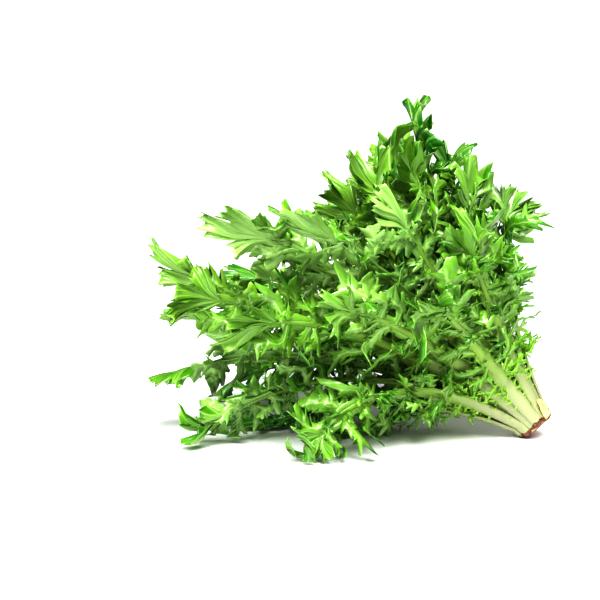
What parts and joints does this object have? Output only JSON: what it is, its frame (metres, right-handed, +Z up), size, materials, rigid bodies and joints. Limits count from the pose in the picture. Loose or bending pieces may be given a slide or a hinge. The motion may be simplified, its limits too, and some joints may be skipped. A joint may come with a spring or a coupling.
{
  "type": "curly endive head",
  "caption": "Head of curly endive: frilled, deeply lobed leaves on pale stalks that spring from a cut butt, lying on its side.",
  "frame": {"origin": "middle of the small flat under the butt, where the head rests on the surface", "axes": "+Z up; the head's axis leans back from the butt along -X at 45 degrees above the surface; Y across the head"},
  "size_m": [0.3444, 0.3578, 0.2823],
  "materials": {
    "outer_leaf_green": "satin",
    "middle_leaf_green": "satin",
    "heart_leaf_yellow": "satin",
    "butt_cream": "matte"
  },
  "bodies": {
    "root": {"butt": "butt_cream", "heart_leaf_43": "heart_leaf_yellow", "heart_leaf_44": "heart_leaf_yellow", "heart_leaf_45": "heart_leaf_yellow", "heart_leaf_46": "heart_leaf_yellow", "heart_leaf_47": "heart_leaf_yellow", "heart_leaf_48": "heart_leaf_yellow", "heart_leaf_49": "heart_leaf_yellow", "heart_leaf_50": "heart_leaf_yellow", "heart_leaf_51": "heart_leaf_yellow", "heart_leaf_52": "heart_leaf_yellow", "heart_leaf_53": "heart_leaf_yellow", "heart_leaf_54": "heart_leaf_yellow", "middle_leaf_25": "middle_leaf_green", "middle_leaf_26": "middle_leaf_green", "middle_leaf_27": "middle_leaf_green", "middle_leaf_28": "middle_leaf_green", "middle_leaf_29": "middle_leaf_green", "middle_leaf_30": "middle_leaf_green", "middle_leaf_31": "middle_leaf_green", "middle_leaf_32": "middle_leaf_green", "middle_leaf_33": "middle_leaf_green", "middle_leaf_34": "middle_leaf_green", "middle_leaf_35": "middle_leaf_green", "middle_leaf_36": "middle_leaf_green", "middle_leaf_37": "middle_leaf_green", "middle_leaf_38": "middle_leaf_green", "middle_leaf_39": "middle_leaf_green", "middle_leaf_40": "middle_leaf_green", "middle_leaf_41": "middle_leaf_green", "middle_leaf_42": "middle_leaf_green", "outer_leaf_01": "outer_leaf_green", "outer_leaf_02": "outer_leaf_green", "outer_leaf_03": "outer_leaf_green", "outer_leaf_04": "outer_leaf_green", "outer_leaf_05": "outer_leaf_green", "outer_leaf_06": "outer_leaf_green", "outer_leaf_07": "outer_leaf_green", "outer_leaf_08": "outer_leaf_green", "outer_leaf_09": "outer_leaf_green", "outer_leaf_10": "outer_leaf_green", "outer_leaf_11": "outer_leaf_green", "outer_leaf_12": "outer_leaf_green", "outer_leaf_13": "outer_leaf_green", "outer_leaf_14": "outer_leaf_green", "outer_leaf_15": "outer_leaf_green", "outer_leaf_16": "outer_leaf_green", "outer_leaf_17": "outer_leaf_green", "outer_leaf_18": "outer_leaf_green", "outer_leaf_19": "outer_leaf_green", "outer_leaf_20": "outer_leaf_green", "outer_leaf_21": "outer_leaf_green", "outer_leaf_22": "outer_leaf_green", "outer_leaf_23": "outer_leaf_green", "outer_leaf_24": "outer_leaf_green"}
  },
  "joints": []
}
